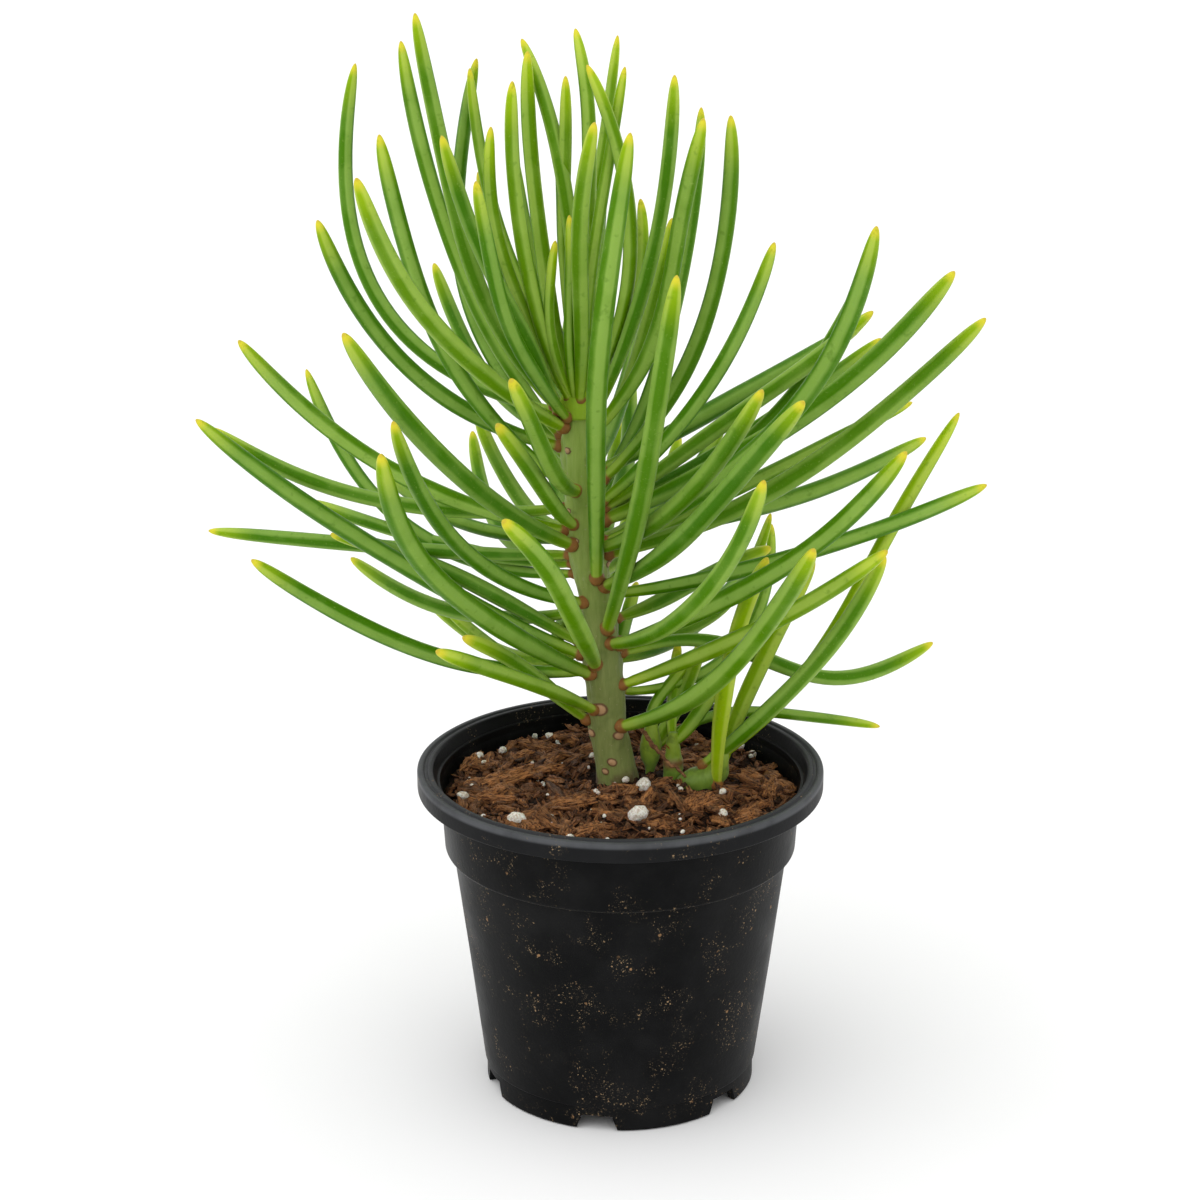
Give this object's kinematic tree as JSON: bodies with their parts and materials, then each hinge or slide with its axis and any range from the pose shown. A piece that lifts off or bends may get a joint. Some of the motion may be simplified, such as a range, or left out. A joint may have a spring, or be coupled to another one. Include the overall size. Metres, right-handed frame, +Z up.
{
  "type": "potted senecio",
  "caption": "Succulent senecio with an upright stem and long, round, pointed leaves, standing in a round black plastic nursery pot with potting mix; rests on its feet.",
  "frame": {"origin": "on the surface that the pot stands on, under the middle of the whole plant's outline seen from above", "axes": "+Z up along the stem; +X to the right and +Y to the back in the front view"},
  "size_m": [0.2188, 0.1476, 0.304],
  "materials": {
    "pot": "satin black moulded polypropylene with fine dust specks",
    "soil": "rough bark and peat mix with perlite grains",
    "stem": "grey-green fleshy skin with tan leaf scars",
    "shoot": "green fleshy skin",
    "leaf": "satin fleshy skin with a pale waxy bloom",
    "young_leaf": "satin fleshy skin, lime green",
    "twig": "dry wrinkled bark"
  },
  "bodies": {
    "root": {"pot": "pot", "soil": "soil", "main_stem": "stem", "side_shoot_1": "shoot", "side_shoot_2": "shoot", "side_shoot_3": "shoot", "growing_tip": "young_leaf", "dry_twig": "twig", "crown_leaf_01": "leaf", "crown_leaf_02": "leaf", "crown_leaf_03": "leaf", "crown_leaf_04": "leaf", "crown_leaf_05": "leaf", "crown_leaf_06": "leaf", "crown_leaf_07": "leaf", "crown_leaf_08": "leaf", "crown_leaf_09": "leaf", "crown_leaf_10": "leaf", "crown_leaf_11": "leaf", "crown_leaf_12": "leaf", "crown_leaf_13": "leaf", "crown_leaf_14": "leaf", "crown_leaf_15": "leaf", "crown_leaf_16": "leaf", "left_leaf_01": "leaf", "left_leaf_02": "leaf", "left_leaf_03": "leaf", "left_leaf_04": "leaf", "left_leaf_05": "leaf", "left_leaf_06": "leaf", "left_leaf_07": "leaf", "left_leaf_08": "leaf", "left_leaf_09": "leaf", "left_leaf_10": "leaf", "left_leaf_11": "leaf", "left_leaf_12": "leaf", "left_leaf_13": "leaf", "left_leaf_14": "leaf", "left_leaf_15": "leaf", "left_leaf_16": "leaf", "right_leaf_01": "leaf", "right_leaf_02": "leaf", "right_leaf_03": "leaf", "right_leaf_04": "leaf", "right_leaf_05": "leaf", "right_leaf_06": "leaf", "right_leaf_07": "leaf", "right_leaf_08": "leaf", "right_leaf_09": "leaf", "right_leaf_10": "leaf", "right_leaf_11": "leaf", "right_leaf_12": "leaf", "right_leaf_13": "leaf", "right_leaf_14": "leaf", "right_leaf_15": "leaf", "shoot_leaf_1": "young_leaf", "shoot_leaf_2": "young_leaf", "shoot_leaf_3": "young_leaf", "shoot_leaf_4": "young_leaf", "shoot_leaf_5": "young_leaf"}
  },
  "joints": []
}
